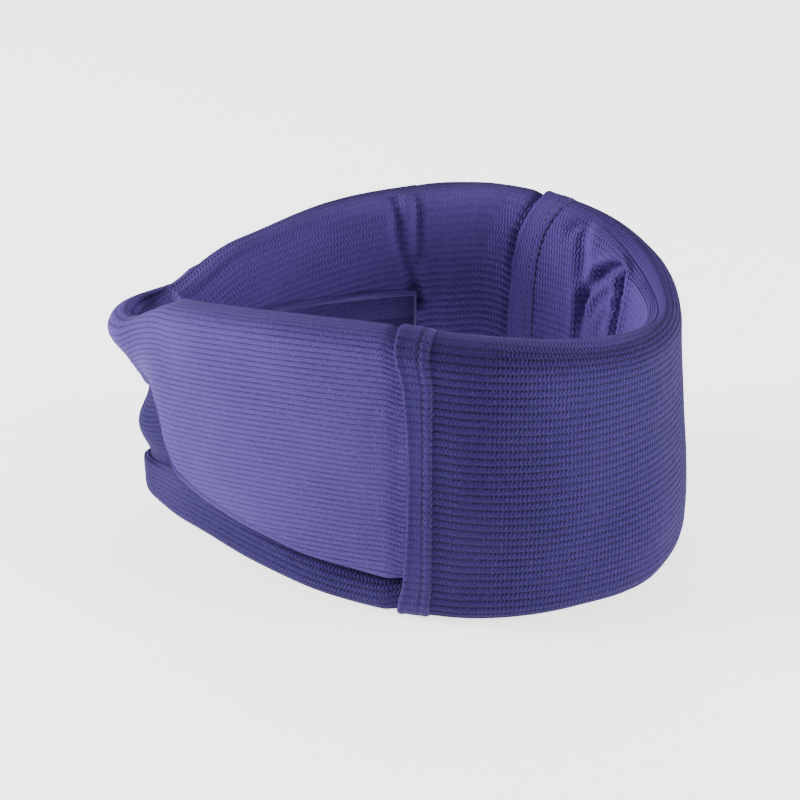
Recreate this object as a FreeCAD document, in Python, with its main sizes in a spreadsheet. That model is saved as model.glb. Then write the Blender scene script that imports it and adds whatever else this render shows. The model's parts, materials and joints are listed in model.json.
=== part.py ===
import FreeCAD, Part
import math
import os
import Sketcher
from FreeCAD import Vector

# Soft cervical collar, closed, standing on its lower edge. Millimetres.
# +X is the wearer's front (chin), +Y the wearer's left, +Z up, and z = 0 is the lower edge.
# In plan the band is an egg: a round front, two long gentle sides and a tight fold at the back.
# Every distance through the band is counted from its neck side face, which is offset 0.

sizes = {
    "halfLength": 90.5,        # middle of the egg to the outer face, front and back alike
    "bandHeight": 94.0,        # highest point of the arched top edge
    "bandThick": 17.0,         # neck side face to outer face
    "neckFrontRadius": 48.5,   # neck side face round the front
    "neckSideRadius": 141.5,   # neck side face along either side
    "neckTipRadius": 1.5,      # neck side face inside the back fold
    "archRadius": 250.0,       # top edge seen from the side
    "archCentre": 8.0,         # how far forward of the middle the top edge peaks
    "rollRadius": 6.5,         # rounded upper and lower edges
    "rightMouth": 254.5,       # angle of the front sleeve's right mouth about the front centre
    "leftMouth": 73.0,         # angle of its left mouth
    "hemWidth": 12.0,          # turned band round each mouth
    "hemProud": 0.5,           # how far the doubled hem stands out of the sleeve
    "stitchWidth": 1.2,        # seam thread seen from the front
    "stitchProud": 0.4,
    "stitchInset": 2.4,        # seam thread to the hem's inner edge
    "coverWall": 1.2,          # knitted cover
    "foamGap": 0.2,            # air between a cover and its foam
    "bodyGap": 0.5,            # air between pieces that move apart
    "layerGap": 0.2,           # air between pieces sewn to the same arm
    "innerThick": 8.8,         # arm layer beside the neck, under the closing panel
    "panelLowFront": 12.0,     # panel's lower edge at the sleeve
    "panelLowBack": 25.0,      # panel's lower edge near the back fold
    "panelCorner": -70.0,      # x of the panel's free lower corner
    "panelFree": 8.0,          # how far its free edge leans back from that corner
    "panelLevel": 13.0,        # x where its lower edge starts to slope
    "tabLow": 40.0,            # closing tab's lower edge
    "foldLow": 45.0,           # lower edge of the panel where it reaches the back fold
    "tabTopDrop": 8.0,         # closing tab's upper edge below the arched top edge
    "tabEnd": 112.0,           # angle of the closing tab's free end about the front centre
    "leftTabLow": 58.5,        # lower edge of the left arm's inner tab
    "leftArmEnd": 112.0,       # angle where the left arm's full height ends
    "leftTabEnd": -64.0,       # x of the inner tab's free end
    "patchThick": 0.7,         # hook patch and loop patch
    "patchThread": 0.2,        # how far the patches' seam threads stand out
    "patchSeam": 1.0,          # width of the sewn border round each patch
    "patchLow": 62.5,          # both patches' lower edge
    "patchTopDrop": 12.5,      # their upper edge below the arched top edge
    "patchStart": 118.0,       # angles of the patches' two ends about the front centre
    "patchEnd": 152.0,
    "foamInset": 1.5,          # foam ends this far inside its cover's open mouth
    "outerRound": 0.6,         # outer layer's edge radius as a share of its thickness
    "innerRound": 0.35,        # inner tab's edge radius as a share of its thickness
    "seamMargin": 0.4,         # from a patch's edge to the seam that borders it
}

doc = FreeCAD.newDocument("cervical_collar")
sheet = doc.addObject("Spreadsheet::Sheet", "Sizes")
for row, (word, number) in enumerate(sizes.items(), start=1):
    sheet.set("A%d" % row, word)
    sheet.set("B%d" % row, str(number))
    sheet.setAlias("B%d" % row, word)
doc.recompute()

# Shared formulas, written with the sheet's aliases.
radian = "57.2958"             # degrees in a radian
frontX = "(Sizes.halfLength - Sizes.bandThick - Sizes.neckFrontRadius)"
tipX = "(-Sizes.halfLength + Sizes.bandThick + Sizes.neckTipRadius)"
thick = "Sizes.bandThick"
wall = "Sizes.coverWall"
foam = "(Sizes.coverWall + Sizes.foamGap)"
gapAngle = "(Sizes.bodyGap / (Sizes.neckFrontRadius + Sizes.bandThick) * %s)" % radian
hemAngle = "(Sizes.hemWidth / (Sizes.neckFrontRadius + Sizes.bandThick) * %s)" % radian
insetAngle = "(Sizes.foamInset / Sizes.neckFrontRadius * %s)" % radian
wallAngle = "(Sizes.coverWall / Sizes.neckFrontRadius * %s)" % radian
panelNear = "(Sizes.innerThick + Sizes.layerGap)"
patchOut = "(Sizes.innerThick + Sizes.patchThick)"
tabNear = "(Sizes.innerThick + 2 * Sizes.patchThick + 2 * Sizes.patchThread + Sizes.bodyGap)"
far = 300.0                    # past every piece
past = 5                       # degrees that a hollow runs on through an open mouth
clear = 20                     # cutting sketches stand this far outside the collar


def value(text):
    result = sheet.evalExpression(str(text))
    return float(getattr(result, "Value", result))


def plane(body, role):
    return [f for f in body.Origin.OriginFeatures if f.Role == role][0]


def newSketch(body, name, role):
    sketch = body.newObject("Sketcher::SketchObject", name)
    sketch.AttachmentSupport = [(plane(body, role), "")]
    sketch.MapMode = "FlatFace"
    return sketch


def bind(sketch, kind, where, text):
    # one constraint whose number is a formula of the sheet
    index = sketch.addConstraint(Sketcher.Constraint(kind, *where, value(text)))
    sketch.setExpression("Constraints[%d]" % index, str(text))


def polygonSketch(body, name, role, corners):
    # closed run of straight lines; every corner is a pair of formulas
    sketch = newSketch(body, name, role)
    points = [Vector(value(x), value(y), 0) for x, y in corners]
    for i, point in enumerate(points):
        sketch.addGeometry(Part.LineSegment(point, points[(i + 1) % len(points)]), False)
    for i, (x, y) in enumerate(corners):
        sketch.addConstraint(Sketcher.Constraint("Coincident", i, 2, (i + 1) % len(points), 1))
        bind(sketch, "DistanceX", (i, 1), x)
        bind(sketch, "DistanceY", (i, 1), y)
    return sketch


def eggLoop(sketch, offset):
    # front arc, left side arc, fold arc and right side arc, tangent all the way round
    front = Vector(value(frontX), 0, 0)
    tip = Vector(value(tipX), 0, 0)
    frontR = value("Sizes.neckFrontRadius")
    sideR = value("Sizes.neckSideRadius")
    tipR = value("Sizes.neckTipRadius")
    more = value(offset)
    long = front.x - tip.x
    grow = sideR - frontR
    turn = math.acos((long ** 2 + grow ** 2 - (sideR - tipR) ** 2) / (2 * long * grow))
    side = front - Vector(math.cos(turn), math.sin(turn), 0) * grow
    fold = math.atan2(tip.y - side.y, tip.x - side.x) % (2 * math.pi)
    up = Vector(0, 0, 1)
    arcs = [
        (front, frontR, -turn, turn),
        (side, sideR, turn, fold),
        (tip, tipR, fold, 2 * math.pi - fold),
        (Vector(side.x, -side.y, 0), sideR, -fold, -turn),
    ]
    first = sketch.GeometryCount
    for centre, radius, start, end in arcs:
        sketch.addGeometry(Part.ArcOfCircle(Part.Circle(centre, up, radius + more), start, end), False)
    for i in range(4):
        joined = Sketcher.Constraint("Tangent", first + i, 2, first + (i + 1) % 4, 1)
        sketch.addConstraint(joined)
    for i, x in ((0, frontX), (2, tipX)):
        bind(sketch, "DistanceX", (first + i, 3), x)
        bind(sketch, "DistanceY", (first + i, 3), "0")
    names = ("neckFrontRadius", "neckSideRadius", "neckTipRadius", "neckSideRadius")
    for i, word in enumerate(names):
        bind(sketch, "Radius", (first + i,), "Sizes.%s + (%s)" % (word, offset))


def pocketThrough(body, name, sketch):
    # cut both ways through everything, and make sure that something was cut
    before = body.Shape.Volume
    cut = body.newObject("PartDesign::Pocket", name)
    cut.Profile = sketch
    cut.Type = "Length"
    cut.Midplane = True
    cut.Length = 2 * far
    doc.recompute()
    if not cut.Shape.isValid() or cut.Shape.Volume >= before - 1e-6:
        raise RuntimeError("%s cuts nothing" % name)
    return cut


def bandBody(name, inner, outer, low, drop):
    # egg ring from offset inner to offset outer, from height low to the arched top less drop
    body = doc.addObject("PartDesign::Body", name)
    sketch = newSketch(body, name + "_plan", "XY_Plane")
    eggLoop(sketch, outer)
    eggLoop(sketch, inner)
    sketch.setExpression("AttachmentOffset.Base.z", low)
    pad = body.newObject("PartDesign::Pad", name + "_pad")
    pad.Profile = sketch
    pad.setExpression("Length", "Sizes.bandHeight + 5 - (%s)" % low)
    doc.recompute()
    archPocket(body, name + "_arch", drop)
    return body


def archPocket(body, name, drop):
    # everything above one large arc seen from the side
    sketch = newSketch(body, name + "_side", "XZ_Plane")
    centre = Vector(value("Sizes.archCentre"), value("Sizes.bandHeight - Sizes.archRadius"), 0)
    radius = value("Sizes.archRadius - (%s)" % drop)
    left = value("-Sizes.halfLength - %s" % clear)
    right = value("Sizes.halfLength + %s" % clear)
    top = value("Sizes.bandHeight + 2 * %s" % clear)
    ends = [Vector(x, centre.y + math.sqrt(radius ** 2 - (x - centre.x) ** 2), 0) for x in (left, right)]
    start = math.atan2(ends[1].y - centre.y, ends[1].x - centre.x)
    stop = math.atan2(ends[0].y - centre.y, ends[0].x - centre.x)
    circle = Part.Circle(centre, Vector(0, 0, 1), radius)
    sketch.addGeometry(Part.ArcOfCircle(circle, start, stop), False)
    corners = [ends[0], Vector(left, top, 0), Vector(right, top, 0), ends[1]]
    for a, b in zip(corners, corners[1:]):
        sketch.addGeometry(Part.LineSegment(a, b), False)
    for a, ap, b, bp in ((0, 2, 1, 1), (1, 2, 2, 1), (2, 2, 3, 1), (3, 2, 0, 1)):
        sketch.addConstraint(Sketcher.Constraint("Coincident", a, ap, b, bp))
    bind(sketch, "DistanceX", (0, 3), "Sizes.archCentre")
    bind(sketch, "DistanceY", (0, 3), "Sizes.bandHeight - Sizes.archRadius")
    bind(sketch, "Radius", (0,), "Sizes.archRadius - (%s)" % drop)
    bind(sketch, "DistanceX", (1, 1), "-Sizes.halfLength - %s" % clear)
    bind(sketch, "DistanceX", (1, 2), "-Sizes.halfLength - %s" % clear)
    bind(sketch, "DistanceY", (1, 2), "Sizes.bandHeight + 2 * %s" % clear)
    bind(sketch, "DistanceX", (2, 2), "Sizes.halfLength + %s" % clear)
    bind(sketch, "DistanceY", (2, 2), "Sizes.bandHeight + 2 * %s" % clear)
    bind(sketch, "DistanceX", (3, 2), "Sizes.halfLength + %s" % clear)
    pocketThrough(body, name, sketch)


def ray(angle):
    return ("%s + %s * cos(%s)" % (frontX, far, angle), "%s * sin(%s)" % (far, angle))


def keepSector(body, name, start, end):
    # keep what lies between two rays from the front centre, counted anticlockwise from +X
    first, last = value(start), value(end)
    corners = [(frontX, "0"), ray(end)]
    for quarter in range(8):
        angle = 45 + 90 * quarter
        if last < angle < first + 360:
            sx = 1 if math.cos(math.radians(angle)) > 0 else -1
            sy = 1 if math.sin(math.radians(angle)) > 0 else -1
            corners.append((str(sx * far), str(sy * far)))
    corners.append(ray(start))
    pocketThrough(body, name, polygonSketch(body, name + "_rays", "XY_Plane", corners))


def roundEdges(body, name, radius, wanted):
    # fillet every edge that the test names
    tip = body.Tip
    names = ["Edge%d" % (i + 1) for i, edge in enumerate(tip.Shape.Edges) if wanted(edge)]
    if not names:
        raise RuntimeError("%s finds no edge" % name)
    fillet = body.newObject("PartDesign::Fillet", name)
    fillet.Base = (tip, names)
    fillet.setExpression("Radius", radius)
    doc.recompute()
    if not fillet.Shape.isValid():
        raise RuntimeError("%s is not valid" % name)


def offsetOf(point):
    # how far a point lies outside the neck side face, seen from above
    frontR = value("Sizes.neckFrontRadius")
    sideR = value("Sizes.neckSideRadius")
    tipR = value("Sizes.neckTipRadius")
    front, tip = value(frontX), value(tipX)
    long, grow = front - tip, sideR - frontR
    turn = math.acos((long ** 2 + grow ** 2 - (sideR - tipR) ** 2) / (2 * long * grow))
    sideX, sideY = front - grow * math.cos(turn), -grow * math.sin(turn)
    fold = math.atan2(-sideY, tip - sideX)
    x, y = point.x, abs(point.y)
    if math.atan2(y, x - front) < turn:
        return math.hypot(x - front, y) - frontR
    if math.atan2(y - sideY, x - sideX) < fold:
        return math.hypot(x - sideX, y - sideY) - sideR
    return math.hypot(x - tip, y) - tipR


def longEdge(edge):
    # an edge that runs along the band, not one across it
    return type(edge.Curve).__name__ in ("Circle", "BSplineCurve")


def rolledBand(name, margin, start, end):
    # the whole thickness of the band with all four long edges rounded, between two rays;
    # margin is how far it lies inside the outside of the collar
    body = bandBody(name, margin, "%s - (%s)" % (thick, margin), margin, margin)
    roundEdges(body, name + "_rolls", "Sizes.rollRadius - (%s)" % margin, longEdge)
    keepSector(body, name + "_span", start, end)
    return body


def cut(label, outside, inside):
    # a cover is its outside less its inside
    piece = doc.addObject("Part::Cut", label + "_cut")
    piece.Base = outside
    piece.Tool = inside
    doc.recompute()
    piece.Label = label
    parts.append(piece)
    return piece


def keep(piece, label):
    piece.Label = label
    parts.append(piece)
    return piece


parts = []


# Front section: a foam core in a knitted sleeve whose two mouths are turned into sewn hems.

rightHem = "(Sizes.rightMouth - 360 + %s)" % hemAngle
leftHem = "(Sizes.leftMouth - %s)" % hemAngle
keep(rolledBand("front_core", foam, "(Sizes.rightMouth - 360 + %s)" % insetAngle,
                "(Sizes.leftMouth - %s)" % insetAngle), "front_foam")
cut("front_sleeve", rolledBand("sleeve_outside", "0", rightHem, leftHem),
    rolledBand("sleeve_inside", wall, "(%s - %d)" % (rightHem, past), "(%s + %d)" % (leftHem, past)))


def proudBand(name, grow, start, end):
    # doubled cloth that stands out by grow all round, except under the lower edge
    body = bandBody(name, "-(%s)" % grow, "%s + %s" % (thick, grow), "0", "-(%s)" % grow)
    roundEdges(body, name + "_rolls", "Sizes.rollRadius", longEdge)
    keepSector(body, name + "_span", start, end)
    return body


def hem(side, start, end, seamStart, seamEnd):
    # a hem, and the seam thread that crosses its face from above the lower roll
    cut("sleeve_hem_" + side, proudBand("hem_outside_" + side, "Sizes.hemProud", start, end),
        rolledBand("hem_inside_" + side, wall, "(%s - %d)" % (start, past), "(%s + %d)" % (end, past)))
    thread = proudBand("thread_outside_" + side, "(Sizes.hemProud + Sizes.stitchProud)",
                       seamStart, seamEnd)
    under = proudBand("thread_inside_" + side, "Sizes.hemProud", "(%s - 2)" % seamStart,
                      "(%s + 2)" % seamEnd)
    loop = doc.addObject("Part::Cut", "thread_loop_" + side)
    loop.Base = thread
    loop.Tool = under
    foot = doc.addObject("Part::Box", "thread_foot_" + side)
    foot.setExpression("Length", "4 * Sizes.halfLength")
    foot.setExpression("Width", "4 * Sizes.halfLength")
    foot.setExpression("Height", "Sizes.rollRadius + 5")
    foot.setExpression("Placement.Base.x", "-2 * Sizes.halfLength")
    foot.setExpression("Placement.Base.y", "-2 * Sizes.halfLength")
    foot.setExpression("Placement.Base.z", "-5")
    doc.recompute()
    cut("hem_stitching_" + side, loop, foot)


seamInset = "(Sizes.stitchInset / (Sizes.neckFrontRadius + Sizes.bandThick) * %s)" % radian
seamWide = "(Sizes.stitchWidth / (Sizes.neckFrontRadius + Sizes.bandThick) * %s)" % radian
hem("right", "(Sizes.rightMouth - 360)", rightHem,
    "(%s - %s - %s)" % (rightHem, seamInset, seamWide), "(%s - %s)" % (rightHem, seamInset))
hem("left", leftHem, "Sizes.leftMouth",
    "(%s + %s)" % (leftHem, seamInset), "(%s + %s + %s)" % (leftHem, seamInset, seamWide))


# Right arm: full height beside the neck, with a fat lower roll that the closing panel sits on.

rightEnd = "(Sizes.rightMouth - %s)" % gapAngle
rightFoamEnd = "(Sizes.rightMouth - %s - %s)" % (gapAngle, insetAngle)
foldStart = "(180 + %s / 2)" % gapAngle
foldInside = "(180 + %s / 2 + %s)" % (gapAngle, wallAngle)


def cutBelow(body, name, low):
    # what lies under the panel's lower edge and behind its free lower corner
    corners = [
        (frontX, "-%s" % clear),
        (frontX, "Sizes.panelLowFront + %s" % low),
        ("Sizes.panelLevel", "Sizes.panelLowFront + %s" % low),
        ("Sizes.panelCorner + %s" % low, "Sizes.panelLowBack + %s" % low),
        ("Sizes.panelCorner - Sizes.panelFree + %s" % low, "Sizes.foldLow + %s" % low),
        ("-Sizes.halfLength - %s" % clear, "Sizes.foldLow + %s" % low),
        ("-Sizes.halfLength - %s" % clear, "-%s" % clear),
    ]
    pocketThrough(body, name, polygonSketch(body, name + "_side", "XZ_Plane", corners))


def rightArm(name, margin, start, end):
    # the band less the seat of the closing panel
    band = rolledBand(name + "_band", margin, start, end)
    seat = bandBody(name + "_seat", "Sizes.innerThick - (%s)" % margin, "%s + 8" % thick, "-10", "-4")
    keepSector(seat, name + "_seat_span", "170", "%s + %d" % (end, past))
    cutBelow(seat, name + "_seat_low", "(-Sizes.layerGap - (%s))" % margin)
    arm = doc.addObject("Part::Cut", name)
    arm.Base = band
    arm.Tool = seat
    doc.recompute()
    return arm


def outerLayer(name, near, margin, low, drop, start, end):
    # the outer layer of the band, rounded along its outer edges
    middle = value("(%s + %s) / 2" % (near, thick))

    def outerEdge(edge):
        halfway = edge.valueAt((edge.FirstParameter + edge.LastParameter) / 2)
        return longEdge(edge) and offsetOf(halfway) > middle

    body = bandBody(name, "%s + %s" % (near, margin), "%s - %s" % (thick, margin), low, drop)
    radius = "(Sizes.bandThick - (%s)) * Sizes.outerRound - %s" % (near, margin)
    roundEdges(body, name + "_rolls", radius, outerEdge)
    keepSector(body, name + "_span", start, end)
    return body


def panel(name, margin, start, end):
    body = outerLayer(name, panelNear, margin, "0", margin, start, end)
    cutBelow(body, name + "_low", margin)
    return body


keep(rightArm("right_core", foam, foldInside, rightFoamEnd), "right_arm_foam")
cut("right_arm_cover", rightArm("right_outside", "0", foldStart, rightEnd),
    rightArm("right_inside", wall, foldInside, "(%s + %d)" % (rightEnd, past)))
keep(panel("panel_core", foam, foldInside, rightFoamEnd), "closing_panel_foam")
cut("closing_panel_cover", panel("panel_outside", "0", foldStart, rightEnd),
    panel("panel_inside", wall, foldInside, "(%s + %d)" % (rightEnd, past)))


# Closing tab: the panel's narrower end, wrapped round the back fold over the left arm.

def tab(name, margin, start, end):
    return outerLayer(name, tabNear, margin, "Sizes.tabLow + %s" % margin,
                      "Sizes.tabTopDrop + %s" % margin, start, end)


tabFold = "(180 - %s / 2)" % gapAngle
tabClosed = "(Sizes.tabEnd + %s)" % wallAngle
keep(tab("tab_core", foam, tabClosed, "(%s - %s)" % (tabFold, wallAngle)), "closing_tab_foam")
cut("closing_tab_cover", tab("tab_outside", "0", "Sizes.tabEnd", tabFold),
    tab("tab_inside", wall, tabClosed, "(%s - %s)" % (tabFold, wallAngle)))


def patch(name, near, away, margin):
    # a thin strip on one face of a layer; margin draws all four of its sides in
    angle = "(%s / Sizes.neckFrontRadius * %s)" % (margin, radian)
    body = bandBody(name, near, away, "Sizes.patchLow + %s" % margin,
                    "Sizes.patchTopDrop + %s" % margin)
    keepSector(body, name + "_span", "Sizes.patchStart + %s" % angle, "Sizes.patchEnd - %s" % angle)
    return body


def sewnPatch(kind, near, away, threadNear, threadAway):
    # the patch, and the seam that borders it
    keep(patch(kind + "_strip", near, away, "0"), kind + "_patch")
    cut(kind + "_patch_stitching", patch(kind + "_seam_outside", threadNear, threadAway, "Sizes.seamMargin"),
        patch(kind + "_seam_inside", "%s - 1" % threadNear, "%s + 1" % threadAway,
              "(Sizes.seamMargin + Sizes.patchSeam)"))


hookFace = "(%s - Sizes.patchThick)" % tabNear
sewnPatch("hook", hookFace, tabNear, "(%s - Sizes.patchThread)" % hookFace, hookFace)


# Left arm: full height at the sleeve, then only an inner tab above the notch.

leftStart = "(Sizes.leftMouth + %s)" % gapAngle
leftFoamStart = "(Sizes.leftMouth + %s + %s)" % (gapAngle, insetAngle)
leftEnd = "(Sizes.leftArmEnd - %s)" % gapAngle
keep(rolledBand("left_core", foam, leftFoamStart, "(%s - %s)" % (leftEnd, wallAngle)),
     "left_arm_foam")
cut("left_arm_cover", rolledBand("left_outside", "0", leftStart, leftEnd),
    rolledBand("left_inside", wall, "(%s - %d)" % (leftStart, past), "(%s - %s)" % (leftEnd, wallAngle)))


def innerTab(name, margin):
    # the inner layer only, cut off square before the back fold
    body = bandBody(name, margin, "Sizes.innerThick - (%s)" % margin,
                    "Sizes.leftTabLow + %s" % margin, margin)
    roundEdges(body, name + "_rolls", "Sizes.innerThick * Sizes.innerRound - (%s) / 2" % margin, longEdge)
    start = "Sizes.leftArmEnd + (%s) / Sizes.neckFrontRadius * %s" % (margin, radian)
    keepSector(body, name + "_span", start, "179")
    cutX = "Sizes.leftTabEnd + (%s)" % margin
    corners = [(cutX, str(-far)), (cutX, str(far)), (str(-far), str(far)), (str(-far), str(-far))]
    pocketThrough(body, name + "_end", polygonSketch(body, name + "_end_plan", "XY_Plane", corners))
    return body


keep(innerTab("left_tab_core", foam), "left_tab_foam")
cut("left_tab_cover", innerTab("left_tab_outside", "0"), innerTab("left_tab_inside", wall))
sewnPatch("loop", "Sizes.innerThick", patchOut, patchOut, "(%s + Sizes.patchThread)" % patchOut)


# Every object must have built, and every piece must be one sound solid, before anything is written.

doc.recompute()
failed = [o.Name for o in doc.Objects if "Invalid" in o.State or "Error" in o.State]
for piece in parts:
    shape = piece.Shape
    if shape.isNull() or not shape.isValid() or not shape.Solids:
        failed.append(piece.Label)
if failed:
    raise RuntimeError("not built: " + ", ".join(failed))
os.makedirs("parts", exist_ok=True)
for piece in parts:
    piece.Shape.exportStep("parts/%s.step" % piece.Label)
    print(piece.Label, len(piece.Shape.Solids), round(piece.Shape.Volume))
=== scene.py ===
import json
import math
import bpy
import numpy as np
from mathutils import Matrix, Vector

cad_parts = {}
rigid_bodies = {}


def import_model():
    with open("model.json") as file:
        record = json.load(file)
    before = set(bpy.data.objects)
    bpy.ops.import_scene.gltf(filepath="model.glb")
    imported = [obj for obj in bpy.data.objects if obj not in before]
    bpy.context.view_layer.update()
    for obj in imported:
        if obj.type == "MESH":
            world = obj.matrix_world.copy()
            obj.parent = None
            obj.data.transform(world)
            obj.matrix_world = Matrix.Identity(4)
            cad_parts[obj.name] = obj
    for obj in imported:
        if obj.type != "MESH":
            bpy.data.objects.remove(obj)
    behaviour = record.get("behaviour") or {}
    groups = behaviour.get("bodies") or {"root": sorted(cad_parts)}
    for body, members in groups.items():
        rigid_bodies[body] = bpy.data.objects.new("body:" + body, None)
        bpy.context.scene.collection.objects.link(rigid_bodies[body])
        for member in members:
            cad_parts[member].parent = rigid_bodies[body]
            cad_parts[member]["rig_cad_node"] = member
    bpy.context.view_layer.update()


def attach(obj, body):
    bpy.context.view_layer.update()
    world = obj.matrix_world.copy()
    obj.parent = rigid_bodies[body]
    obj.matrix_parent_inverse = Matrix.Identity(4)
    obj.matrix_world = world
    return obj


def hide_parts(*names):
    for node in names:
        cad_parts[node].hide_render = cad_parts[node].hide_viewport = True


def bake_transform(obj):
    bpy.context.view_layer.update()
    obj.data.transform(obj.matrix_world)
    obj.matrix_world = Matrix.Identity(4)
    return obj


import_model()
bpy.ops.object.select_all(action="DESELECT")

mm = 0.001

# the egg that the band follows, in millimetres, as the frame has it
egg = {
    "frontRadius": 48.5,    # neck side face round the front
    "sideRadius": 141.5,    # along the sides
    "tipRadius": 1.5,       # inside the back fold
    "thick": 17.0,          # through the band
    "height": 94.0,         # peak of the arched top edge
    "archRadius": 250.0,
    "archCentre": 8.0,
    "rightMouth": -105.5,   # the sleeve's two mouths, as angles about the front centre
    "leftMouth": 73.0,
    "hemWidth": 12.0,
}

halfLength = 90.5
frontX = halfLength - egg["thick"] - egg["frontRadius"]
tipX = -halfLength + egg["thick"] + egg["tipRadius"]
halfThick = egg["thick"] / 2
grow = egg["sideRadius"] - egg["frontRadius"]
span = frontX - tipX
turn = math.acos((span ** 2 + grow ** 2 - (egg["sideRadius"] - egg["tipRadius"]) ** 2) / (2 * span * grow))
sideX = frontX - grow * math.cos(turn)
sideY = -grow * math.sin(turn)
fold = math.atan2(-sideY, tipX - sideX)
arcFront = turn * (egg["frontRadius"] + halfThick)
arcSide = (fold - turn) * (egg["sideRadius"] + halfThick)
arcTip = (math.pi - fold) * (egg["tipRadius"] + halfThick)
halfRound = arcFront + arcSide + arcTip


def planAt(s):
    # point on the neck side face and outward direction; s runs along the middle of the band, 0 at the chin
    s = (np.asarray(s, float) + halfRound) % (2 * halfRound) - halfRound
    side = np.where(s < 0, -1.0, 1.0)
    a = np.abs(s)
    onFront = a <= arcFront
    onSide = (a > arcFront) & (a <= arcFront + arcSide)
    angle = np.where(onFront, a / (egg["frontRadius"] + halfThick),
                     np.where(onSide, turn + (a - arcFront) / (egg["sideRadius"] + halfThick),
                              fold + (a - arcFront - arcSide) / (egg["tipRadius"] + halfThick)))
    cx = np.where(onFront, frontX, np.where(onSide, sideX, tipX))
    cy = np.where(onSide, sideY, 0.0)
    r = np.where(onFront, egg["frontRadius"], np.where(onSide, egg["sideRadius"], egg["tipRadius"]))
    nx, ny = np.cos(angle), np.sin(angle)
    return cx + r * nx, side * (cy + r * ny), nx, side * ny


tableS = np.linspace(-halfRound + 0.01, halfRound - 0.01, 4001)
tableX, tableY, tableNx, tableNy = planAt(tableS)


def sAtAngle(degrees):
    # where a ray from the front centre crosses the middle of the band
    a = np.degrees(np.unwrap(np.arctan2(tableY + tableNy * halfThick, tableX + tableNx * halfThick - frontX)))
    a -= np.interp(0.0, tableS, a)
    return float(np.interp(degrees, a, tableS))


def sAtX(x, side, offset=0.0):
    # where the right (-1) or left (+1) side reaches x, at a distance out from the neck side face
    half = tableS * side > 30
    xs = (tableX + tableNx * offset)[half]
    order = np.argsort(xs)
    return float(np.interp(x, xs[order], tableS[half][order]))


def archAt(s):
    x = planAt(s)[0] + planAt(s)[2] * halfThick
    return egg["height"] - (x - egg["archCentre"]) ** 2 / (2 * egg["archRadius"])


def smooth(a, b, x):
    t = np.clip((np.asarray(x, float) - a) / (b - a), 0, 1)
    return t * t * (3 - 2 * t)


def bell(x, centre, width):
    return np.exp(-((np.asarray(x, float) - centre) / width) ** 2)


def ripple(seed, a, b, sizeA, sizeB):
    # gentle uneven waves, the same on every run
    rng = np.random.RandomState(seed)
    total = 0.0
    for i in range(7):
        ka, kb, shift = rng.uniform(0.5, 1.6), rng.uniform(0.5, 1.6), rng.uniform(0, 6.28)
        total = total + np.sin(a / sizeA * ka * 6.28 + rng.choice((-1, 1)) * b / sizeB * kb * 6.28 + shift)
    return total / 7


cornerPoints = 11     # points round each corner of a section
roundCurve = 0.5523   # how far a curve's handles reach to make it round


def roundedLoop(corners, radii):
    # closed section of (offset, height) points, from the middle of its top, out and down and round
    corners = np.asarray(corners, float)
    n = len(corners)
    pts = [(corners[0] + corners[-1]) / 2]
    for i in range(n):
        p, a, b = corners[i], corners[i - 1], corners[(i + 1) % n]
        la, lb = np.linalg.norm(a - p), np.linalg.norm(b - p)
        cut = min(radii[i], 0.49 * la, 0.49 * lb)
        start, end = p + (a - p) / la * cut, p + (b - p) / lb * cut
        c1, c2 = start + (p - start) * roundCurve, end + (p - end) * roundCurve
        for t in np.linspace(0, 1, cornerPoints):
            near = (1 - t) ** 3 * start + 3 * t * (1 - t) ** 2 * c1
            far = 3 * t * t * (1 - t) * c2 + t ** 3 * end
            pts.append(near + far)
    pts.append(pts[0])
    pts = np.array(pts)
    return pts, np.concatenate([[0], np.cumsum(np.linalg.norm(np.diff(pts, axis=0), axis=1))])


def layGrid(stations, sectionAt, outer, inner, fit, squeeze=7.0):
    # rows along the band and columns round each section, some down the outside and some up the neck side;
    # "even" columns stretch together, "hang" ones keep their distance from the top and crowd at the foot
    sections = []
    for s in stations:
        corners, radii, lowest = sectionAt(s)
        pts, way = roundedLoop(corners, radii)
        last = cornerPoints * (lowest + 1)                         # end of the lower outer corner's curve
        sections.append((pts, way, (way[last] + way[last + 1]) / 2))
    longOut = max(w[2] for w in sections)
    longIn = max(w[1][-1] - w[2] for w in sections)
    goOut = np.arange(outer) / outer * longOut
    goIn = longIn - np.arange(inner) / inner * longIn
    o = np.empty((len(stations), outer + inner))
    z = np.empty_like(o)
    fade = np.ones_like(o)
    for i, (pts, way, split) in enumerate(sections):
        lengths = (split, way[-1] - split)
        went = []
        for go, full, length in ((goOut, longOut, lengths[0]), (goIn, longIn, lengths[1])):
            if fit == "even":
                went.append(go * length / full)
            else:
                edge = max(length - squeeze, 0)
                went.append(np.where(go < edge, go, edge + (go - edge) * (length - edge) / (full - edge)))
        at = np.concatenate([went[0], way[-1] - went[1]])
        o[i] = np.interp(at, way, pts[:, 0])
        z[i] = np.interp(at, way, pts[:, 1])
        if fit != "even":
            fade[i, :outer] = smooth(lengths[0], lengths[0] - squeeze, np.minimum(goOut, lengths[0]))
            fade[i, outer:] = smooth(lengths[1], lengths[1] - squeeze, np.minimum(goIn, lengths[1]))
    across = np.concatenate([goOut, -goIn])     # distance from the top, negative up the neck side
    return o, z, fade, across


def gridPoints(s, o, z):
    bx, by, nx, ny = planAt(s)
    return np.stack([bx + nx * o, by + ny * o, z], axis=-1)


def gridNormals(p):
    along = np.gradient(p, axis=0)
    round_ = np.roll(p, -1, axis=1) - np.roll(p, 1, axis=1)
    n = np.cross(round_, along)
    return n / np.maximum(np.linalg.norm(n, axis=2, keepdims=True), 1e-9)


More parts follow.
